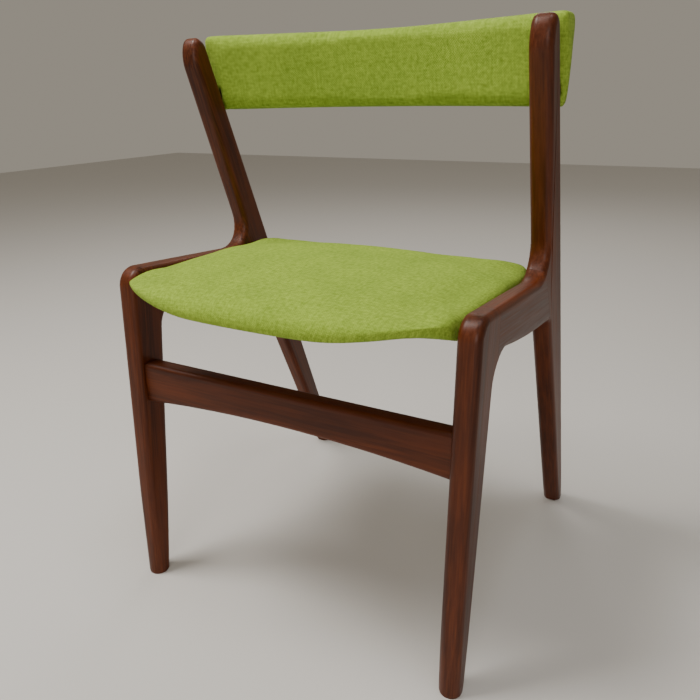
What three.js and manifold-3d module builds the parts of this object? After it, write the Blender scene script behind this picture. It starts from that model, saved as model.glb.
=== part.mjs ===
// A mid-century teak dining chair with an upholstered seat and backrest.
//
// Millimetres, +Z up. The chair faces -Y, and its right side, seen from in front, is +X.
// The model is drawn with Y = 0 through the middle of the front feet and then moved so that
// the origin lies on the floor under the middle of the whole chair.
//
// The two side frames are flat and parallel. Each is a front leg, a side rail and one straight
// raked stick that is rear leg and back post in one piece, doweled together and shaped as one.
import * as THREE from 'three';
import { mergeVertices } from 'three/addons/utils/BufferGeometryUtils.js';
import Module from 'manifold-3d';

const wasm = await Module();
wasm.setup();

// ---- Driving dimensions -------------------------------------------------------------------

const HEIGHT = 745;                 // floor to the top of the back posts
const FRAME_X = 236;                // middle of each side frame from the chair's centre plane
const FRAME_THICKNESS = 27;
const FRAME_ROUNDING = 8;           // edge rounding along the whole side frame
const FOOT_RADIUS = 14.2;
const REAR_FOOT_Y = 478;            // middle of the rear feet behind the middle of the front feet
const FRONT_RAKE = 0.0495;          // backward lean of the front leg's front edge, per mm of height
const FRONT_BACK_RAKE = 0.112;      // and of its back edge, so that the leg widens upwards
const STICK_BACK_RAKE = 0.396;      // forward lean of the rear stick's back edge
const STICK_LEG_RAKE = 0.466;       // forward lean of its front edge below the rail
const STICK_POST_RAKE = 0.35;       // and above the rail, so that the post tapers upwards
const POST_FRONT_Y = 423.2;         // where the post's front edge would meet the floor
const POST_SPLAY = 0.0146;          // outward lean of the posts above the rail, per mm of height
const RAIL_TOP_FRONT = 463;         // top of the side rail at the knob
const RAIL_TOP_REAR = 450.5;
const SEAT_LEVEL = 430;             // underside of the seat board
const BOARD_THICKNESS = 10;
const SEAT_EDGE_TOP = 459;          // top of the seat pad at its edges
const SEAT_TOP = 471;               // and at its crown
const SEAT_FRONT_Y = -54;
const SEAT_REAR_Y = 292;
const SEAT_HALF_WIDTH = 221;
const BACK_LOW = 651;               // lower edge of the backrest
const BACK_BOW = 38;                // how far the backrest's middle lies behind its ends
const GAP = 0.3;                    // clearance between pieces that touch
const HOLE_CLEARANCE = 0.2;         // round a dowel, tenon or screw
const FLOOR_OVERRUN = 20;           // legs are drawn this far below the floor, then cut off

const INNER_FACE = FRAME_X - FRAME_THICKNESS / 2;
const SIDES = [['left', -1], ['right', 1]];

// ---- Materials ----------------------------------------------------------------------------

const finish = (color, roughness, metalness) => () =>
  new THREE.MeshStandardMaterial({ color, roughness, metalness });
const teak = finish('#4a2416', 0.42, 0);
const beech = finish('#b58a5c', 0.6, 0);
const plywood = finish('#a98355', 0.65, 0);
const woolCloth = finish('#86a53f', 0.9, 0);
const screwSteel = finish('#8d8a80', 0.35, 1);

// ---- Shape helpers ------------------------------------------------------------------------

// A closed solid for cutting and joining, from any closed three.js geometry.
function solidOf(geometry) {
  const bare = geometry.index ? geometry.toNonIndexed() : geometry.clone();
  bare.deleteAttribute('normal');
  bare.deleteAttribute('uv');
  const merged = mergeVertices(bare, 1e-3);
  const mesh = new wasm.Mesh({
    numProp: 3,
    vertProperties: new Float32Array(merged.attributes.position.array),
    triVerts: new Uint32Array(merged.index.array),
  });
  return new wasm.Manifold(mesh);
}

function geometryOf(solid) {
  const mesh = solid.getMesh();
  const geometry = new THREE.BufferGeometry();
  geometry.setAttribute('position', new THREE.BufferAttribute(new Float32Array(mesh.vertProperties), 3));
  geometry.setIndex(new THREE.BufferAttribute(new Uint32Array(mesh.triVerts), 1));
  geometry.computeVertexNormals();
  return geometry;
}

function box(lowX, highX, lowY, highY, lowZ, highZ) {
  const geometry = new THREE.BoxGeometry(highX - lowX, highY - lowY, highZ - lowZ);
  geometry.translate((lowX + highX) / 2, (lowY + highY) / 2, (lowZ + highZ) / 2);
  return solidOf(geometry);
}

// Turns a shape drawn in the side view, as (y, z), into a slab between two X positions.
function sideSlab(shape, lowX, highX, rounding = 0, steps = 1) {
  const geometry = new THREE.ExtrudeGeometry(shape, {
    depth: highX - lowX - 2 * rounding,
    steps,
    curveSegments: 9,
    bevelEnabled: rounding > 0,
    bevelThickness: rounding,
    bevelSize: rounding,
    bevelOffset: -rounding,
    bevelSegments: 5,
  });
  const sideView = new THREE.Matrix4().makeBasis(
    new THREE.Vector3(0, 1, 0),
    new THREE.Vector3(0, 0, 1),
    new THREE.Vector3(1, 0, 0),
  );
  geometry.applyMatrix4(sideView);
  geometry.translate(lowX + rounding, 0, 0);
  return geometry;
}

// A shape drawn from above, as (x, y), raised between two heights.
function raised(shape, lowZ, highZ, rounding = 0) {
  const geometry = new THREE.ExtrudeGeometry(shape, {
    depth: highZ - lowZ - 2 * rounding,
    curveSegments: 14,
    bevelEnabled: rounding > 0,
    bevelThickness: rounding,
    bevelSize: rounding,
    bevelOffset: -rounding,
    bevelSegments: 5,
  });
  geometry.translate(0, 0, lowZ + rounding);
  return geometry;
}

// A polygon with every corner rounded by the same radius, or by its own third value.
function roundedShape(corners, radius) {
  const shape = new THREE.Shape();
  corners.forEach(([x, y, own], i) => {
    const here = new THREE.Vector2(x, y);
    const before = new THREE.Vector2(...corners.at(i - 1).slice(0, 2));
    const after = new THREE.Vector2(...corners[(i + 1) % corners.length].slice(0, 2));
    const reach = own ?? radius;
    const start = here.clone().add(before.sub(here).setLength(reach));
    const end = here.clone().add(after.sub(here).setLength(reach));
    if (i === 0) shape.moveTo(start.x, start.y);
    else shape.lineTo(start.x, start.y);
    shape.quadraticCurveTo(x, y, end.x, end.y);
  });
  shape.closePath();
  return shape;
}

// A round bar between two points.
function bar(from, to, radius, sides = 16) {
  const along = new THREE.Vector3().subVectors(to, from);
  const geometry = new THREE.CylinderGeometry(radius, radius, along.length(), sides);
  const turn = new THREE.Quaternion().setFromUnitVectors(
    new THREE.Vector3(0, 1, 0),
    along.clone().normalize(),
  );
  geometry.applyQuaternion(turn);
  const middle = from.clone().lerp(to, 0.5);
  geometry.translate(middle.x, middle.y, middle.z);
  return geometry;
}

// A turned shape round a line from a point, given as [radius, distance along] pairs.
function turned(profile, from, direction, sides) {
  const points = profile.map(([radius, along]) => new THREE.Vector2(radius, along));
  const geometry = new THREE.LatheGeometry(points, sides);
  const turn = new THREE.Quaternion().setFromUnitVectors(
    new THREE.Vector3(0, 1, 0),
    direction.clone().normalize(),
  );
  geometry.applyQuaternion(turn);
  geometry.translate(from.x, from.y, from.z);
  return geometry;
}

// ---- The parts list and what is bored into each part --------------------------------------

const chair = new THREE.Group();
const parts = new Map();

function addPart(name, solid, material) {
  parts.set(name, { solid, material });
}

function bore(name, cutter) {
  const part = parts.get(name);
  part.solid = part.solid.subtract(cutter);
}

// A dowel centred on a joint, with its hole in both of the pieces that it joins.
function addDowel(name, centre, direction, radius, length, joined) {
  const half = direction.clone().setLength(length / 2);
  const from = centre.clone().sub(half);
  const to = centre.clone().add(half);
  const spare = half.clone().setLength(1);
  const hole = solidOf(bar(from.clone().sub(spare), to.clone().add(spare), radius + HOLE_CLEARANCE));
  joined.forEach((piece) => bore(piece, hole));
  addPart(name, solidOf(bar(from, to, radius)), beech);
}

// A countersunk wood screw whose head starts at a point and which points along a direction.
function addScrew(name, headFrom, direction, length, shankRadius, joined) {
  const headRadius = shankRadius * 1.9;
  const headDepth = shankRadius * 1.2;
  const outline = (spare) => [
    [0, -spare],
    [headRadius + spare, -spare],
    [headRadius + spare, spare / 2],
    [shankRadius + spare, headDepth + spare / 2],
    [shankRadius + spare, length - 3 * shankRadius],
    [0, length + spare],
  ];
  const sides = 14;
  const hole = solidOf(turned(outline(HOLE_CLEARANCE), headFrom, direction, sides));
  joined.forEach((piece) => bore(piece, hole));
  addPart(name, solidOf(turned(outline(0), headFrom, direction, sides)), screwSteel);
}

// ---- Side frames --------------------------------------------------------------------------

const legFrontY = (z) => -FOOT_RADIUS + FRONT_RAKE * z;
const legBackY = (z) => FOOT_RADIUS + FRONT_BACK_RAKE * z;
const stickBackY = (z) => REAR_FOOT_Y + FOOT_RADIUS - STICK_BACK_RAKE * z;
const stickLegFrontY = (z) => REAR_FOOT_Y - FOOT_RADIUS - STICK_LEG_RAKE * z;
const postFrontY = (z) => POST_FRONT_Y - STICK_POST_RAKE * z;

// The outline of a whole side frame in the side view: up the front leg, over its knob, back
// along the rail, up the post, over its domed top and straight down the back to the rear foot,
// then forward under the rail and down through the arch behind the front leg.
function sideFrameOutline() {
  const knobStart = RAIL_TOP_FRONT - 25;
  const knobEnd = legFrontY(RAIL_TOP_FRONT) + 24;
  const filletStartY = 212;
  const filletEnd = RAIL_TOP_REAR + 48;
  const filletCornerZ = RAIL_TOP_REAR - 4;
  const domeStart = HEIGHT - 40;
  const domeTopY = stickBackY(HEIGHT) - 10;
  const backCorner = HEIGHT - 11;
  const cornerZ = 383;
  const archSpringing = 374;
  const archTop = 407;
  const archRearY = legBackY(archSpringing) + 40;

  const outline = new THREE.Shape();
  outline.moveTo(legFrontY(-FLOOR_OVERRUN), -FLOOR_OVERRUN);
  outline.lineTo(legFrontY(knobStart), knobStart);
  outline.bezierCurveTo(
    legFrontY(knobStart + 14), knobStart + 14,
    knobEnd - 14, RAIL_TOP_FRONT,
    knobEnd, RAIL_TOP_FRONT,
  );
  outline.lineTo(filletStartY, RAIL_TOP_REAR);
  outline.bezierCurveTo(
    filletStartY + 30, filletCornerZ + 2,
    postFrontY(filletEnd - 28), filletEnd - 28,
    postFrontY(filletEnd), filletEnd,
  );
  outline.lineTo(postFrontY(domeStart), domeStart);
  outline.bezierCurveTo(
    postFrontY(domeStart + 16), domeStart + 16,
    domeTopY - 12, HEIGHT,
    domeTopY, HEIGHT,
  );
  outline.bezierCurveTo(
    domeTopY + 6, HEIGHT,
    stickBackY(backCorner + 6), backCorner + 6,
    stickBackY(backCorner), backCorner,
  );
  outline.lineTo(stickBackY(-FLOOR_OVERRUN), -FLOOR_OVERRUN);
  outline.lineTo(stickLegFrontY(-FLOOR_OVERRUN), -FLOOR_OVERRUN);
  outline.lineTo(stickLegFrontY(cornerZ - 9), cornerZ - 9);
  outline.quadraticCurveTo(
    stickLegFrontY(cornerZ), cornerZ,
    stickLegFrontY(cornerZ) - 10, cornerZ + 0.4,
  );
  outline.quadraticCurveTo(190, 388, archRearY, archTop);
  outline.bezierCurveTo(
    archRearY - 19, archTop + 1.5,
    legBackY(archSpringing + 19), archSpringing + 19,
    legBackY(archSpringing), archSpringing,
  );
  outline.lineTo(legBackY(-FLOOR_OVERRUN), -FLOOR_OVERRUN);
  outline.closePath();
  return outline;
}

// The space that a turned foot may fill: a cone that leaves the leg square above `blend`.
function footEnvelope(footY, towards, blend, blendRadius) {
  const foot = new THREE.Vector3(0, footY, 0);
  const clearOfAll = 900;
  const profile = [
    [0, -FLOOR_OVERRUN - 5],
    [FOOT_RADIUS - 0.8, -FLOOR_OVERRUN - 5],
    [FOOT_RADIUS - 0.8, 0],
    [FOOT_RADIUS, 2],
    [blendRadius, blend],
    [clearOfAll, blend + 1],
    [clearOfAll, 2 * clearOfAll],
    [0, 2 * clearOfAll],
  ];
  return solidOf(turned(profile, foot, towards, 32));
}

// The three pieces of one side frame, drawn about X = 0. The posts lean outward a little above
// the rail, to the side that `sign` says.
function sideFramePieces(sign) {
  const half = FRAME_THICKNESS / 2;
  const slab = sideSlab(sideFrameOutline(), -half, half, FRAME_ROUNDING);
  const position = slab.attributes.position;
  for (let i = 0; i < position.count; i += 1) {
    const aboveRail = Math.max(position.getZ(i) - RAIL_TOP_REAR, 0);
    position.setX(i, position.getX(i) + sign * POST_SPLAY * aboveRail);
  }
  const whole = solidOf(slab);
  const aboveFloor = whole.intersect(box(-50, 50, -100, 700, 0, 900));

  const legJointY = 66;
  const frontRegion = box(-50, 50, -100, legJointY - GAP / 2, -50, 900);
  const stickRegion = solidOf(sideSlab(stickRegionOutline(GAP / 2), -50, 50));
  const notStick = solidOf(sideSlab(stickRegionOutline(-GAP / 2), -50, 50));
  const behindLeg = box(-50, 50, legJointY + GAP / 2, 700, -50, 900);

  const legAxis = new THREE.Vector3(0, (FRONT_RAKE + FRONT_BACK_RAKE) / 2, 1);
  const stickAxis = new THREE.Vector3(0, -(STICK_BACK_RAKE + STICK_LEG_RAKE) / 2, 1);
  return {
    leg: aboveFloor.intersect(frontRegion).intersect(footEnvelope(0, legAxis, 320, 27)),
    rail: aboveFloor.intersect(behindLeg).subtract(notStick),
    stick: aboveFloor.intersect(stickRegion).intersect(footEnvelope(REAR_FOOT_Y, stickAxis, 320, 28)),
  };
}

// Everything behind the slanting joint between rail and stick, moved back by `inset`.
const JOINT_TOP = new THREE.Vector2(241, RAIL_TOP_FRONT);
const JOINT_FOOT = new THREE.Vector2(stickLegFrontY(383), 383);

function stickRegionOutline(inset) {
  const along = JOINT_FOOT.clone().sub(JOINT_TOP).normalize();
  const back = new THREE.Vector2(-along.y, along.x).multiplyScalar(inset);
  const top = JOINT_TOP.clone().addScaledVector(along, -18).add(back);
  const foot = JOINT_FOOT.clone().addScaledVector(along, 14).add(back);
  return new THREE.Shape([
    top,
    foot,
    new THREE.Vector2(stickLegFrontY(350) - 30, 350),
    new THREE.Vector2(300, -60),
    new THREE.Vector2(700, -60),
    new THREE.Vector2(700, 900),
    new THREE.Vector2(100, 900),
    new THREE.Vector2(100, RAIL_TOP_FRONT + 60),
    new THREE.Vector2(top.x - 12, top.y + 6),
  ]);
}

function addSideFrames() {
  for (const [side, sign] of SIDES) {
    const pieces = sideFramePieces(sign);
    const x = sign * FRAME_X;
    addPart(`front_leg_${side}`, pieces.leg.translate([x, 0, 0]), teak);
    addPart(`side_rail_${side}`, pieces.rail.translate([x, 0, 0]), teak);
    addPart(`rear_leg_and_post_${side}`, pieces.stick.translate([x, 0, 0]), teak);
  }
}

// Two dowels across each of the frame's joints.
function addFrameDowels() {
  const jointLine = JOINT_FOOT.clone().sub(JOINT_TOP);
  const acrossJoint = new THREE.Vector3(0, -jointLine.y, jointLine.x);
  for (const [side, sign] of SIDES) {
    [422, 444].forEach((z, i) => {
      const centre = new THREE.Vector3(sign * FRAME_X, 66, z);
      const pieces = [`front_leg_${side}`, `side_rail_${side}`];
      addDowel(`knob_dowel_${side}_${i + 1}`, centre, new THREE.Vector3(0, 1, 0), 5, 40, pieces);
    });
    [0.36, 0.68].forEach((share, i) => {
      const point = JOINT_TOP.clone().addScaledVector(jointLine, share);
      const centre = new THREE.Vector3(sign * FRAME_X, point.x, point.y);
      const pieces = [`side_rail_${side}`, `rear_leg_and_post_${side}`];
      addDowel(`post_dowel_${side}_${i + 1}`, centre, acrossJoint, 5, 36, pieces);
    });
  }
}

// ---- Rails between the side frames --------------------------------------------------------

// The front stretcher: a straight, well rounded top edge and a shallow arch below, with a stub
// tenon at each end.
function addFrontStretcher() {
  const top = 334;
  const endDepth = 60;
  const archRise = 14;
  const frontY = 11;
  const thickness = 25;
  const rounding = 6;
  const overrun = 20;
  const tenonLength = 14;
  const tenonHeight = 38;
  const tenonThickness = 12;

  const halfLength = INNER_FACE + overrun;
  const outline = new THREE.Shape();
  outline.moveTo(-halfLength, top);
  outline.lineTo(halfLength, top);
  outline.lineTo(halfLength, top - endDepth);
  outline.quadraticCurveTo(0, top - endDepth + 2 * archRise, -halfLength, top - endDepth);
  outline.closePath();

  const geometry = new THREE.ExtrudeGeometry(outline, {
    depth: thickness - 2 * rounding,
    curveSegments: 18,
    bevelThickness: rounding,
    bevelSize: rounding,
    bevelOffset: -rounding,
    bevelSegments: 4,
  });
  geometry.rotateX(Math.PI / 2);
  geometry.translate(0, frontY + thickness - rounding, 0);

  const end = INNER_FACE - GAP;
  let board = solidOf(geometry).intersect(box(-end, end, -100, 200, 0, 900));
  const middleY = frontY + thickness / 2;
  const middleZ = top - endDepth / 2;
  const tenon = (x, spare) => box(
    x - tenonLength - spare, x + tenonLength + spare,
    middleY - tenonThickness / 2 - spare, middleY + tenonThickness / 2 + spare,
    middleZ - tenonHeight / 2 - spare, middleZ + tenonHeight / 2 + spare,
  );
  for (const [side, sign] of SIDES) {
    board = board.add(tenon(sign * INNER_FACE, 0));
    bore(`front_leg_${side}`, tenon(sign * INNER_FACE, HOLE_CLEARANCE));
  }
  addPart('front_stretcher', board, teak);
}

const RAIL_END = INNER_FACE - GAP;
const RAIL_TOP = SEAT_LEVEL - GAP;
const FRONT_RAIL = { low: 92, high: 142, thickness: 17 };
const REAR_RAIL = { low: 284, high: 304, thickness: 42 };

// Two hidden cross rails carry the seat board: a flat one in front and an upright one behind.
function addCrossRails() {
  const rail = ({ low, high, thickness }) =>
    box(-RAIL_END, RAIL_END, low, high, RAIL_TOP - thickness, RAIL_TOP);
  addPart('front_seat_rail', rail(FRONT_RAIL), teak);
  addPart('rear_seat_rail', rail(REAR_RAIL), teak);

  const along = new THREE.Vector3(1, 0, 0);
  const length = 28;
  const intoFrame = 11;
  for (const [side, sign] of SIDES) {
    const x = sign * (INNER_FACE + intoFrame - length / 2);
    [105, 129].forEach((y, i) => {
      const centre = new THREE.Vector3(x, y, RAIL_TOP - FRONT_RAIL.thickness / 2);
      const pieces = ['front_seat_rail', `side_rail_${side}`];
      addDowel(`front_rail_dowel_${side}_${i + 1}`, centre, along, 4, length, pieces);
    });
    [398, 418].forEach((z, i) => {
      const centre = new THREE.Vector3(x, 296, z);
      const pieces = ['rear_seat_rail', `rear_leg_and_post_${side}`];
      addDowel(`rear_rail_dowel_${side}_${i + 1}`, centre, along, 4, length, pieces);
    });
  }
}

// A triangular block in each rear corner under the seat.
function addCornerBlocks() {
  const reach = 76;
  const thickness = 18;
  for (const [side, sign] of SIDES) {
    const x = sign * RAIL_END;
    const y = REAR_RAIL.low - GAP;
    const outline = new THREE.Shape([
      new THREE.Vector2(x, y),
      new THREE.Vector2(x - sign * reach, y),
      new THREE.Vector2(x, y - reach),
    ]);
    const block = solidOf(raised(outline, RAIL_TOP - thickness, RAIL_TOP));
    addPart(`corner_block_${side}`, block, beech);
  }
}

// ---- Seat ---------------------------------------------------------------------------------

// The seat from above: a bowed front, nearly straight sides and rounded rear corners. The front
// can be set back further than the sides, with its corners cut rounder to match.
function seatOutline(inset, setBack = 0) {
  const half = SEAT_HALF_WIDTH - inset;
  const front = SEAT_FRONT_Y + inset + setBack;
  const shoulder = 40 + 1.5 * setBack;
  const rear = SEAT_REAR_Y - inset;
  const outline = new THREE.Shape();
  outline.moveTo(0, front);
  outline.bezierCurveTo(0.68 * half, front, half, front + 20, half, shoulder);
  outline.bezierCurveTo(half, 110, half, 180, half, rear - 38);
  outline.bezierCurveTo(half - 1, rear - 8, half - 10, rear, half - 40, rear);
  outline.lineTo(40 - half, rear);
  outline.bezierCurveTo(10 - half, rear, 1 - half, rear - 8, -half, rear - 38);
  outline.bezierCurveTo(-half, 180, -half, 110, -half, shoulder);
  outline.bezierCurveTo(-half, front + 20, -0.68 * half, front, 0, front);
  return outline;
}

// The plywood board, and the foam pad with its cover, which wraps down round the board's edge.
function addSeat() {
  const boardInset = 16;
  const boardSetBack = 30;
  const boardTop = SEAT_LEVEL + BOARD_THICKNESS;
  const edgeRounding = 14;
  const crownInset = 14;
  const boardOutline = seatOutline(boardInset, boardSetBack);
  addPart('seat_board', solidOf(raised(boardOutline, SEAT_LEVEL, boardTop)), plywood);

  const slab = solidOf(raised(seatOutline(0), SEAT_LEVEL + GAP, SEAT_EDGE_TOP, edgeRounding));
  const crown = new THREE.SphereGeometry(1, 40, 20);
  const halfDepth = (SEAT_REAR_Y - SEAT_FRONT_Y) / 2;
  crown.rotateX(Math.PI / 2);
  crown.scale(SEAT_HALF_WIDTH - crownInset, halfDepth - crownInset, SEAT_TOP - SEAT_EDGE_TOP + 1);
  crown.translate(0, SEAT_FRONT_Y + halfDepth, SEAT_EDGE_TOP - 1);
  const pocketOutline = seatOutline(boardInset - GAP, boardSetBack);
  const pocket = solidOf(raised(pocketOutline, SEAT_LEVEL - 5, boardTop + GAP));
  addPart('seat_pad', slab.add(solidOf(crown)).subtract(pocket), woolCloth);
}

// Four screws come up through the front rail and the corner blocks into the seat board.
function addSeatScrews() {
  const up = new THREE.Vector3(0, 0, 1);
  for (const [side, sign] of SIDES) {
    const blockScrew = new THREE.Vector3(sign * 180, 258, RAIL_TOP - 18);
    addScrew(`rear_seat_screw_${side}`, blockScrew, up, 25, 2, [`corner_block_${side}`, 'seat_board']);
    const railScrew = new THREE.Vector3(sign * 150, 117, RAIL_TOP - FRONT_RAIL.thickness);
    addScrew(`front_seat_screw_${side}`, railScrew, up, 25, 2, ['front_seat_rail', 'seat_board']);
  }
}

// ---- Backrest -----------------------------------------------------------------------------

const BACK_TOP = HEIGHT + 6;
const BLOCK_X = 244;
const backFrontY = (z) => 236 - 0.14 * (z - BACK_LOW);
const backRearY = (z) => 256 + 0.125 * (z - BACK_LOW);

// How far the backrest lies behind its ends at a distance from the centre plane: a round bow
// that runs out nearly flat behind the posts.
function bow(x) {
  const share = Math.min(Math.abs(x) / 250, 1);
  return BACK_BOW * (1 - share * share) ** 1.5;
}

// A long bar whose section is drawn in the side view, bent to the backrest's bow.
function bowedBar(section, halfLength) {
  const geometry = sideSlab(section, -halfLength, halfLength, 0, 30);
  const position = geometry.attributes.position;
  for (let i = 0; i < position.count; i += 1) {
    position.setY(i, position.getY(i) + bow(position.getX(i)));
  }
  return solidOf(geometry);
}

// The section of a layer that lies parallel to the rear face, between two depths in from it.
function layerSection(shallow, deep, low, high) {
  return new THREE.Shape([
    new THREE.Vector2(backRearY(low) - shallow, low),
    new THREE.Vector2(backRearY(high) - shallow, high),
    new THREE.Vector2(backRearY(high) - deep, high),
    new THREE.Vector2(backRearY(low) - deep, low),
  ]);
}

// The backrest: a bent plywood shell, a tapered wooden block that fills the wedge between the
// shell and each raked post, a foam pad over both, and a thin panel that closes the back.
function addBackrest() {
  const panelThickness = 2.5;
  const shellFront = 12;
  const pocketLow = BACK_LOW + 9;
  const pocketHigh = BACK_TOP - 14;
  const shellHalf = 244;
  const padHalf = 254;
  const blockLow = BACK_LOW + 8;
  const blockHigh = BACK_LOW + 30;
  const blockHalfWidth = 5;

  const shellSection = layerSection(panelThickness + GAP, shellFront, pocketLow, pocketHigh);
  addPart('backrest_shell', bowedBar(shellSection, shellHalf), plywood);
  const panelSection = layerSection(0, panelThickness, pocketLow, pocketHigh);
  addPart('backrest_back_panel', bowedBar(panelSection, shellHalf), woolCloth);

  const padSection = roundedShape([
    [backFrontY(BACK_LOW), BACK_LOW, 6],
    [backRearY(BACK_LOW), BACK_LOW, 8],
    [backRearY(BACK_TOP), BACK_TOP, 14],
    [backFrontY(BACK_TOP), BACK_TOP, 12],
  ]);
  const pocketSection = layerSection(-30, shellFront + GAP, pocketLow - GAP, pocketHigh + GAP);
  let pad = bowedBar(padSection, padHalf).subtract(bowedBar(pocketSection, shellHalf + GAP));

  for (const [side, sign] of SIDES) {
    const blockBack = (z) => backRearY(z) - shellFront - GAP + bow(INNER_FACE);
    const blockFront = (z) => stickBackY(z) + GAP;
    const blockSection = (spare) => new THREE.Shape([
      new THREE.Vector2(blockFront(blockLow - spare) - 20 * spare, blockLow - spare),
      new THREE.Vector2(blockBack(blockLow - spare) + 20 * spare, blockLow - spare),
      new THREE.Vector2(blockBack(blockHigh + spare) + 20 * spare, blockHigh + spare),
      new THREE.Vector2(blockFront(blockHigh + spare) - 20 * spare, blockHigh + spare),
    ]);
    const lowX = sign * BLOCK_X - blockHalfWidth;
    const highX = sign * BLOCK_X + blockHalfWidth;
    const shellSpace = bowedBar(layerSection(-30, shellFront + GAP, BACK_LOW, BACK_TOP), 260);
    const block = solidOf(sideSlab(blockSection(0), lowX, highX)).subtract(shellSpace);
    addPart(`backrest_block_${side}`, block, teak);
    pad = pad.subtract(solidOf(sideSlab(blockSection(GAP), lowX - GAP, highX + GAP)));
  }
  addPart('backrest_pad', pad, woolCloth);
}

// Two screws on each side go forward through the shell and the block into the post.
function addBackrestScrews() {
  const forward = new THREE.Vector3(0, -1, 0);
  for (const [side, sign] of SIDES) {
    [[664, 50], [676, 54]].forEach(([z, length], i) => {
      const x = sign * BLOCK_X;
      const headFrom = new THREE.Vector3(x, backRearY(z) - 3.8 + bow(x), z);
      const pieces = ['backrest_shell', `backrest_block_${side}`, `rear_leg_and_post_${side}`];
      addScrew(`backrest_screw_${side}_${i + 1}`, headFrom, forward, length, 2.2, pieces);
    });
  }
}

// ---- Assembly -----------------------------------------------------------------------------

addSideFrames();
addFrameDowels();
addFrontStretcher();
addCrossRails();
addCornerBlocks();
addSeat();
addSeatScrews();
addBackrest();
addBackrestScrews();

for (const [name, { solid, material }] of parts) {
  const mesh = new THREE.Mesh(geometryOf(solid), material());
  mesh.name = name;
  chair.add(mesh);
}

// The origin goes to the middle of the chair's depth, on the floor.
chair.position.y = -(SEAT_FRONT_Y + REAR_FOOT_Y + FOOT_RADIUS) / 2;

export default chair;
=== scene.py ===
"""Looks of the upholstered teak dining chair: timber, wool cover, light and camera."""

import math

import bmesh
import bpy
from mathutils import Matrix, Vector


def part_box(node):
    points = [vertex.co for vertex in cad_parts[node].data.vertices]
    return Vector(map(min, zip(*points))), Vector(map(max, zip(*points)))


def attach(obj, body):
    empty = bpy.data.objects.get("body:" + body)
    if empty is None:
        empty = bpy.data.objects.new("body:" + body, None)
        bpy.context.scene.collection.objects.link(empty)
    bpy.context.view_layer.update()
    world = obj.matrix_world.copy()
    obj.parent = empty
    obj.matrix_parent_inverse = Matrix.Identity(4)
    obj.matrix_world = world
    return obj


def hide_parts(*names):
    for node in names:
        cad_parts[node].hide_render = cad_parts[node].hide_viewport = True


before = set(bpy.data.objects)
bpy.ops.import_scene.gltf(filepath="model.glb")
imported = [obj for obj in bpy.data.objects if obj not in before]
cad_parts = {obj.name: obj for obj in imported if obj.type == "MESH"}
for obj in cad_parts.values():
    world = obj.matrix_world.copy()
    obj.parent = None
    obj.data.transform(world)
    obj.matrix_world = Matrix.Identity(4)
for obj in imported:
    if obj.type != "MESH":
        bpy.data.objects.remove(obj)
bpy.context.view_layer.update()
scene = bpy.context.scene

# ---- Camera -------------------------------------------------------------------------------

CAMERA_AT = Vector((0.4504, -0.8113, 0.6706))
CAMERA_TURN = math.radians(30.13)
CAMERA_DIP = math.radians(20.62)
CAMERA_ROLL = math.radians(-1.19)
CAMERA_SENSOR_MM = 36
CAMERA_LENS_MM = 35.07


def add_camera():
    """A camera between seat and backrest height, in front of the chair and to its right."""
    turn, dip, roll = CAMERA_TURN, CAMERA_DIP, CAMERA_ROLL
    forward = Vector((-math.sin(turn), math.cos(turn), 0))
    ahead = forward * math.cos(dip) - Vector((0, 0, math.sin(dip)))
    level = Vector((math.cos(turn), math.sin(turn), 0))
    above = level.cross(ahead)
    right = level * math.cos(roll) + above * math.sin(roll)
    up = above * math.cos(roll) - level * math.sin(roll)
    data = bpy.data.cameras.new("camera")
    data.sensor_width = CAMERA_SENSOR_MM
    data.lens = CAMERA_LENS_MM
    camera = bpy.data.objects.new("camera", data)
    scene.collection.objects.link(camera)
    axes = Matrix((right, up, -ahead)).transposed()
    camera.matrix_world = Matrix.Translation(CAMERA_AT) @ axes.to_4x4()
    scene.camera = camera


add_camera()

# ---- Material helpers ---------------------------------------------------------------------


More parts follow.
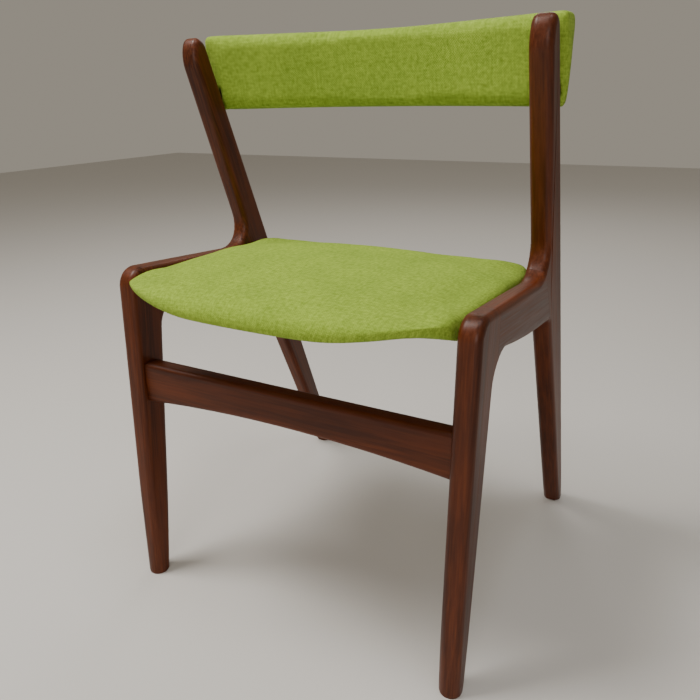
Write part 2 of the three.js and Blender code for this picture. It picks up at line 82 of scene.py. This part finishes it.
class Surface:
    """A node material with short calls for the nodes that the finishes below are built from."""

    def __init__(self, name):
        self.material = bpy.data.materials.new(name)
        self.material.use_nodes = True
        self.tree = self.material.node_tree
        self.shader = self.tree.nodes["Principled BSDF"]

    def node(self, kind, inputs=(), **settings):
        made = self.tree.nodes.new(kind)
        for key, value in settings.items():
            setattr(made, key, value)
        for socket, value in dict(inputs).items():
            self.feed(made.inputs[socket], value)
        return made

    def feed(self, socket, value):
        if isinstance(value, bpy.types.NodeSocket):
            self.tree.links.new(value, socket)
        else:
            socket.default_value = value

    def math(self, operation, *values):
        made = self.node("ShaderNodeMath", operation=operation)
        for socket, value in zip(made.inputs, values):
            self.feed(socket, value)
        return made.outputs[0]

    def along(self, position, direction):
        made = self.node("ShaderNodeVectorMath", operation="DOT_PRODUCT")
        self.feed(made.inputs[0], position)
        self.feed(made.inputs[1], direction)
        return made.outputs["Value"]

    def vector(self, x, y, z):
        return self.node("ShaderNodeCombineXYZ", {0: x, 1: y, 2: z}).outputs[0]

    def noise(self, position, scale, detail=2.0, rough=0.5):
        inputs = {"Vector": position, "Scale": scale, "Detail": detail, "Roughness": rough}
        return self.node("ShaderNodeTexNoise", inputs).outputs[0]

    def fit(self, value, low, high, to_low, to_high):
        inputs = {0: value, 1: low, 2: high, 3: to_low, 4: to_high}
        return self.node("ShaderNodeMapRange", inputs).outputs[0]

    def blend(self, share, first, second):
        made = self.node("ShaderNodeMix", data_type="RGBA")
        self.feed(made.inputs[0], share)
        self.feed(made.inputs[6], first)
        self.feed(made.inputs[7], second)
        return made.outputs[2]

    def bump(self, height, strength, distance):
        inputs = {"Height": height, "Strength": strength, "Distance": distance}
        made = self.node("ShaderNodeBump", inputs)
        self.feed(self.shader.inputs["Normal"], made.outputs[0])

    def set(self, **values):
        """Fills the shader's own inputs, each called by its label in small letters."""
        for name, value in values.items():
            label = name.replace("_", " ").title().replace("Ior", "IOR")
            self.feed(self.shader.inputs[label], value)


def shade(red, green, blue):
    return (red, green, blue, 1.0)


def timber(name, grain, dark, middle, light, gloss, shift=0.0):
    """Long-grained wood: bands of growth, fine fibres and open pores along `grain`. `shift` moves
    the figure across the grain, so that no two pieces look cut from the same place."""
    surface = Surface(name)
    grain = Vector(grain).normalized()
    side = grain.orthogonal().normalized()
    third = grain.cross(side)
    position = surface.node("ShaderNodeTexCoord").outputs["Object"]
    across = surface.along(position, tuple(side))
    through = surface.along(position, tuple(third))
    length = surface.along(position, tuple(grain))
    slow = surface.math("MULTIPLY", length, 0.09)
    slower = surface.math("MULTIPLY", length, 0.025)
    moved = surface.math("ADD", across, shift)
    flow = surface.vector(moved, through, slow)
    fibre_flow = surface.vector(moved, through, slower)
    drift = surface.noise(flow, 9.0, 2.0)
    bands = surface.noise(flow, 46.0, 4.0, 0.62)
    fibres = surface.noise(fibre_flow, 420.0, 3.0, 0.6)
    pores = surface.noise(fibre_flow, 1300.0, 1.0)
    tone = surface.fit(bands, 0.33, 0.68, 0.0, 1.0)
    colour = surface.blend(tone, dark, middle)
    pale_fibres = surface.fit(fibres, 0.42, 0.72, 0.0, 0.75)
    pale_places = surface.fit(drift, 0.3, 0.7, 0.25, 1.0)
    colour = surface.blend(surface.math("MULTIPLY", pale_fibres, pale_places), colour, light)
    pore_share = surface.fit(pores, 0.62, 0.75, 0.0, 0.45)
    colour = surface.blend(pore_share, colour, dark)
    roughness = surface.fit(fibres, 0.3, 0.7, gloss - 0.05, gloss + 0.1)
    surface.set(base_color=colour, roughness=roughness, specular_ior_level=0.24)
    height = surface.math("SUBTRACT", surface.math("MULTIPLY", fibres, 0.5), pore_share)
    surface.bump(height, 0.25, 0.0004)
    return surface.material


TEAK_GLOSS = 0.36
TEAK_DARK = shade(0.034, 0.0072, 0.002)
TEAK_MIDDLE = shade(0.1, 0.0205, 0.0042)
TEAK_LIGHT = shade(0.19, 0.047, 0.0115)


def teak(name, grain, shift):
    return timber(name, grain, TEAK_DARK, TEAK_MIDDLE, TEAK_LIGHT, TEAK_GLOSS, shift)


YARN_WIDTH = 0.0016


def wool(name, first, second, mottle_and_pit_shade):
    """A plain weave of heathered yarn, with slubs, a soft nap and painted shade in the pits between
    the yarns. It follows the cover's UVs.
    """
    surface = Surface(name)
    cloth = surface.node("ShaderNodeUVMap", uv_map="cloth").outputs[0]
    parts = surface.node("ShaderNodeSeparateXYZ", {0: cloth}).outputs
    wander = surface.noise(cloth, 60.0, 2.0)
    sway = surface.math("MULTIPLY", surface.math("SUBTRACT", wander, 0.5), 0.9)
    warp = surface.math("ADD", surface.math("DIVIDE", parts[0], YARN_WIDTH), sway)
    weft = surface.math("ADD", surface.math("DIVIDE", parts[1], YARN_WIDTH), sway)
    over = surface.math("SINE", surface.math("MULTIPLY", warp, math.pi))
    under = surface.math("SINE", surface.math("MULTIPLY", weft, math.pi))
    weave = surface.fit(surface.math("MULTIPLY", over, under), -1.0, 1.0, 0.0, 1.0)

    def yarn_tone(line):
        cell = surface.math("FLOOR", line)
        return surface.node("ShaderNodeTexWhiteNoise", {"W": cell}, noise_dimensions="1D").outputs[0]

    def slub(across, along):
        return surface.noise(surface.vector(across, along, 0.0), 340.0, 3.0, 0.65)

    yarns = surface.math("ADD", yarn_tone(warp), yarn_tone(weft))
    weft_slubs = slub(surface.math("MULTIPLY", parts[0], 0.35), parts[1])
    warp_slubs = slub(parts[0], surface.math("MULTIPLY", parts[1], 0.35))
    slubs = surface.math("ADD", weft_slubs, warp_slubs)
    heather = surface.math("MULTIPLY", surface.fit(slubs, 0.75, 1.25, 0.0, 1.0), 0.75)
    mixed = surface.math("ADD", heather, surface.math("MULTIPLY", yarns, 0.125))
    colour = surface.blend(mixed, first, second)
    blotch = surface.fit(surface.noise(cloth, 14.0, 2.0), 0.35, 0.7, 0.0, 0.16)
    colour = surface.blend(blotch, colour, mottle_and_pit_shade)
    # Painted shade: the low places of the weave, between the yarns, are darkened towards the dark wool
    # colour.
    painted_pit_shade = surface.fit(weave, 0.0, 0.35, 0.34, 0.0)
    colour = surface.blend(painted_pit_shade, colour, mottle_and_pit_shade)
    surface.set(base_color=colour, roughness=0.95, specular_ior_level=0.06)
    surface.set(sheen_weight=0.02, sheen_roughness=0.5)
    fuzz = surface.noise(cloth, 2600.0, 2.0)
    height = surface.math("ADD", weave, surface.math("MULTIPLY", fuzz, 0.5))
    height = surface.math("ADD", height, surface.math("MULTIPLY", slubs, 0.4))
    surface.bump(height, 0.42, 0.0005)
    return surface.material


def zinc(name):
    """Bright zinc plating with fine scuffs."""
    surface = Surface(name)
    position = surface.node("ShaderNodeTexCoord").outputs["Object"]
    scuffs = surface.noise(position, 900.0, 3.0)
    colour = surface.blend(scuffs, shade(0.5, 0.48, 0.42), shade(0.7, 0.69, 0.66))
    roughness = surface.fit(scuffs, 0.3, 0.7, 0.28, 0.45)
    surface.set(metallic=1.0, base_color=colour, roughness=roughness)
    surface.bump(scuffs, 0.1, 0.0002)
    return surface.material


# ---- Timber pieces ------------------------------------------------------------------------

WELD = 0.00002
CREASE = math.radians(32)
UPRIGHT = (0.0, 0.08, 1.0)
STICK = (0.0, -0.4, 1.0)
SIDEWAYS = (1.0, 0.0, 0.0)
FRONT_TO_BACK = (0.0, 1.0, -0.08)


def sanded(node, material):
    """A smooth copy of a timber piece of the frame, which stands for it."""
    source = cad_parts[node]
    mesh = source.data.copy()
    mesh.materials.clear()
    mesh.materials.append(material)
    piece = bpy.data.objects.new(node + "_finish", mesh)
    scene.collection.objects.link(piece)
    shape = bmesh.new()
    shape.from_mesh(mesh)
    bmesh.ops.remove_doubles(shape, verts=shape.verts, dist=WELD)
    bmesh.ops.recalc_face_normals(shape, faces=shape.faces)
    for face in shape.faces:
        face.smooth = True
    for edge in shape.edges:
        edge.smooth = len(edge.link_faces) == 2 and edge.calc_face_angle() < CREASE
    shape.to_mesh(mesh)
    shape.free()
    normals = piece.modifiers.new("even_shading", "WEIGHTED_NORMAL")
    normals.keep_sharp = True
    normals.weight = 80
    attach(piece, "root")
    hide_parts(node)
    return piece


def add_timber():
    """The teak of both side frames, the stretcher, the seat rails and the backrest's spacers."""
    for number, side in enumerate(("left", "right")):
        shift = 0.37 * number
        sanded(f"front_leg_{side}", teak(f"teak_leg_{side}", UPRIGHT, 0.11 + shift))
        sanded(f"side_rail_{side}", teak(f"teak_rail_{side}", FRONT_TO_BACK, 0.23 + shift))
        sanded(f"rear_leg_and_post_{side}", teak(f"teak_stick_{side}", STICK, 0.05 + shift))
        sanded(f"backrest_block_{side}", teak(f"teak_block_{side}", UPRIGHT, 0.71 + shift))
    sanded("front_stretcher", teak("teak_stretcher", SIDEWAYS, 0.52))
    sanded("front_seat_rail", teak("teak_front_rail", SIDEWAYS, 0.83))
    sanded("rear_seat_rail", teak("teak_rear_rail", SIDEWAYS, 0.94))


def finish_hidden_pieces():
    """Pale structural wood and screws under the seat and inside the backrest."""
    pale = shade(0.36, 0.2, 0.08), shade(0.5, 0.3, 0.13), shade(0.6, 0.39, 0.19)
    ply = shade(0.3, 0.19, 0.1), shade(0.43, 0.29, 0.16), shade(0.52, 0.37, 0.22)
    beech_wood = timber("beech", SIDEWAYS, *pale, 0.55)
    birch_ply = timber("plywood", SIDEWAYS, *ply, 0.6)
    plating = zinc("zinc_plating")
    for name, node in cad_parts.items():
        if node.hide_render:
            continue
        if "screw" in name:
            chosen = plating
        elif name in ("seat_board", "backrest_shell"):
            chosen = birch_ply
        else:
            chosen = beech_wood
        node.data.materials.clear()
        node.data.materials.append(chosen)


# ---- Upholstery ---------------------------------------------------------------------------

CLOTH_FRAMES = 20
MOST_SWELLING = 0.003
SEAT_EDGE_HEIGHT = 0.029
SEAT_EDGE_FULLNESS = 0.0035
SEAT_CROWN_EASE = 0.003
SEAT_CORNER_LIFT = 0.0145
RAIL_CLEARANCE = 0.0006


def foam_form(name, nodes, voxel):
    """One closed, evenly meshed form round the solids of some nodes."""
    shape = bmesh.new()
    for node in nodes:
        shape.from_mesh(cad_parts[node].data)
    bmesh.ops.remove_doubles(shape, verts=shape.verts, dist=WELD)
    mesh = bpy.data.meshes.new(name)
    shape.to_mesh(mesh)
    shape.free()
    mesh.materials.clear()
    piece = bpy.data.objects.new(name, mesh)
    scene.collection.objects.link(piece)
    remesh = piece.modifiers.new("even", "REMESH")
    remesh.mode = "VOXEL"
    remesh.voxel_size = voxel
    settle(piece)
    return piece


def settle(piece):
    """Turns a piece's modifiers into its own mesh."""
    graph = bpy.context.evaluated_depsgraph_get()
    graph.update()
    made = bpy.data.meshes.new_from_object(piece.evaluated_get(graph))
    old = piece.data
    piece.modifiers.clear()
    piece.data = made
    made.name = piece.name
    bpy.data.meshes.remove(old)


def relax(piece, times):
    shape = bmesh.new()
    shape.from_mesh(piece.data)
    every_way = {"use_axis_x": True, "use_axis_y": True, "use_axis_z": True}
    for _ in range(times):
        bmesh.ops.smooth_vert(shape, verts=shape.verts, factor=0.5, **every_way)
    shape.to_mesh(piece.data)
    shape.free()


def refine(piece):
    smooth = piece.modifiers.new("fine", "SUBSURF")
    smooth.levels = smooth.render_levels = 1
    settle(piece)


def swell(piece, held, pressure):
    """The cover takes up the foam's push, held where it is stapled down."""
    before = [vertex.co.copy() for vertex in piece.data.vertices]
    group = piece.vertex_groups.new(name="held")
    for vertex in piece.data.vertices:
        group.add([vertex.index], held(vertex.co, vertex.normal), "REPLACE")
    cloth = piece.modifiers.new("cover", "CLOTH")
    settings = cloth.settings
    settings.quality = 5
    settings.mass = 0.25
    settings.tension_stiffness = 18
    settings.compression_stiffness = 18
    settings.shear_stiffness = 6
    settings.bending_stiffness = 0.6
    settings.vertex_group_mass = "held"
    settings.use_pressure = True
    settings.uniform_pressure_force = pressure
    settings.effector_weights.gravity = 0
    cloth.point_cache.frame_start = 1
    cloth.point_cache.frame_end = CLOTH_FRAMES
    for number in range(1, CLOTH_FRAMES + 1):
        scene.frame_set(number)
    graph = bpy.context.evaluated_depsgraph_get()
    swollen = piece.evaluated_get(graph).data
    after = [vertex.co.copy() for vertex in swollen.vertices]
    piece.modifiers.clear()
    piece.vertex_groups.clear()
    for vertex, old, new in zip(piece.data.vertices, before, after):
        step = new - old
        if step.length > MOST_SWELLING:
            step.length = MOST_SWELLING
        vertex.co = old + step
    scene.frame_set(1)


def lay_cloth(piece, place):
    """Gives a cover its cloth UVs, in metres, from a function of a point."""
    layer = piece.data.uv_layers.new(name="cloth")
    for loop in piece.data.loops:
        layer.data[loop.index].uv = place(piece.data.vertices[loop.vertex_index].co)
    piece.data.uv_layers.active = layer


def cover(piece, material, nodes):
    """Puts the wool on a cushion, which stands for some nodes."""
    piece.data.materials.clear()
    piece.data.materials.append(material)
    for face in piece.data.polygons:
        face.use_smooth = True
    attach(piece, "root")
    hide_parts(*nodes)


def ease(value, low, high):
    """Runs smoothly from 0 at `low` to 1 at `high`."""
    share = min(max((value - low) / (high - low), 0.0), 1.0)
    return share * share * (3 - 2 * share)


def draw_tight(pad, low, high, limit):
    """Fills a pad out to its full size, flat underneath, and draws it up at its front corners."""
    points = [vertex.co for vertex in pad.data.vertices]
    downward = [-vertex.normal.z for vertex in pad.data.vertices]
    near, far = min(at.y for at in points), max(at.y for at in points)
    widest = max(abs(at.x) for at in points)
    under = low[2] + 0.0001
    for at, facing_down in zip(points, downward):
        flat = ease(facing_down, 0.3, 0.65) * (1 - ease(at.z, low[2] + 0.006, low[2] + 0.013))
        behind = ease(at.y, low[1] + 0.03, low[1] + 0.09)
        at.z += (under - at.z) * flat * behind
        at.y = low[1] + (at.y - near) * (high[1] - low[1]) / (far - near)
        at.x = min(max(at.x * limit / widest, -limit), limit)
        forward = 1 - ease(at.y, low[1] + 0.03, low[1] + 0.095)
        lower = 1 - ease(at.z, low[2] + 0.008, low[2] + 0.032)
        corner = ease(abs(at.x), 0.35 * limit, limit)
        at.z += SEAT_CORNER_LIFT * corner * forward * lower


def add_seat(material):
    """The seat cushion: full along the rails, rolled under in front, drawn up at its front corners."""
    low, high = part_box("seat_pad")
    half = high[0]
    rail_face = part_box("side_rail_right")[0][0]
    pad = foam_form("seat_cushion", ["seat_pad", "seat_board"], 0.005)
    relax(pad, 4)
    edge_top = low[2] + SEAT_EDGE_HEIGHT
    for vertex in pad.data.vertices:
        at = vertex.co
        side = ease(abs(at.x), half - 0.028, half - 0.004)
        ahead = 1 - ease(at.y, high[1] - 0.12, high[1] - 0.03)
        upper = ease(at.z, edge_top - 0.018, edge_top - 0.004)
        at.z += SEAT_EDGE_FULLNESS * side * ahead * upper
        middle = (1 - ease(abs(at.x), 0, half)) * ease(at.z, edge_top, high[2])
        at.z -= SEAT_CROWN_EASE * middle

    def held(at, normal):
        underneath = 1 - ease(at.z, low[2] + 0.003, low[2] + 0.012)
        by_rail = ease(abs(at.x), half - 0.004, half) * ease(at.y, low[1] + 0.08, low[1] + 0.1)
        return max(underneath, 0.9 * by_rail)

    swell(pad, held, 2.0)
    relax(pad, 6)
    refine(pad)
    draw_tight(pad, low, high, rail_face - RAIL_CLEARANCE)

    def place(at):
        away = Vector((at.x / half, (at.y + 0.1) / 0.17))
        outward = away.normalized() if away.length > 0.01 else Vector((0, 0))
        drop = max(high[2] - at.z, 0) * ease(away.length, 0.7, 1.05)
        return (at.x + outward.x * drop, at.y + outward.y * drop)

    lay_cloth(pad, place)
    cover(pad, material, ["seat_pad"])


def add_backrest(material):
    """The backrest: one bowed pad, with its plywood shell and its closing panel inside."""
    low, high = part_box("backrest_pad")
    nodes = ["backrest_pad", "backrest_shell", "backrest_back_panel"]
    pad = foam_form("backrest_cushion", nodes, 0.0035)
    relax(pad, 4)

    def held(at, normal):
        return ease(normal.y, 0.2, 0.6)

    swell(pad, held, 3.0)
    relax(pad, 1)

    def place(at):
        behind = at.y - (low[1] + 0.03)
        end = math.copysign(ease(abs(at.x), high[0] - 0.012, high[0] - 0.003), at.x)
        top = ease(at.z, high[2] - 0.012, high[2])
        return (at.x + behind * end, at.z - max(behind, 0) * top * (1 - abs(end)))

    refine(pad)
    lay_cloth(pad, place)
    cover(pad, material, nodes)


# ---- Floor and light ----------------------------------------------------------------------


FLOOR_HALF_WIDTH = 6.0


def add_floor():
    mesh = bpy.data.meshes.new("floor")
    shape = bmesh.new()
    bmesh.ops.create_grid(shape, x_segments=1, y_segments=1, size=FLOOR_HALF_WIDTH)
    shape.to_mesh(mesh)
    shape.free()
    floor = bpy.data.objects.new("floor", mesh)
    scene.collection.objects.link(floor)
    surface = Surface("pale_floor")
    surface.set(base_color=shade(0.62, 0.6, 0.57), roughness=0.8)
    mesh.materials.append(surface.material)


def add_light(name, place, aim, size, power, colour):
    data = bpy.data.lights.new(name, "AREA")
    data.size = size
    data.energy = power
    data.color = colour
    lamp = bpy.data.objects.new(name, data)
    scene.collection.objects.link(lamp)
    lamp.location = place
    lamp.rotation_euler = (Vector(aim) - Vector(place)).to_track_quat("-Z", "Y").to_euler()


def add_lights():
    """A warm room, with soft lamps at the upper left, in front, overhead and behind."""
    world = bpy.data.worlds.new("room")
    world.use_nodes = True
    background = world.node_tree.nodes["Background"].inputs
    background["Color"].default_value = shade(1.0, 0.91, 0.76)
    background["Strength"].default_value = 0.3
    scene.world = world
    aim = (0.0, 0.0, 0.4)
    add_light("key", (-1.0, -0.75, 2.65), aim, 0.9, 66, (1.0, 0.97, 0.93))
    add_light("fill", (0.9, -2.7, 1.1), aim, 1.2, 22, (1.0, 0.97, 0.94))
    add_light("top", (0.55, -0.35, 2.7), aim, 0.8, 14, (0.95, 0.97, 1.0))
    add_light("rim", (-0.6, 2.4, 2.4), aim, 1.5, 14, (1.0, 0.98, 0.95))


add_timber()
WOOL_DEEP = shade(0.175, 0.27, 0.025)
WOOL_BRIGHT = shade(0.365, 0.51, 0.067)
# Dark wool tone, used for the random mottling and as painted shade in the weave's pits.
WOOL_MOTTLE_AND_PIT_SHADE = shade(0.055, 0.12, 0.016)
wool_cover = wool("apple_green_wool", WOOL_DEEP, WOOL_BRIGHT, WOOL_MOTTLE_AND_PIT_SHADE)
add_seat(wool_cover)
add_backrest(wool_cover)
finish_hidden_pieces()
add_floor()
add_lights()
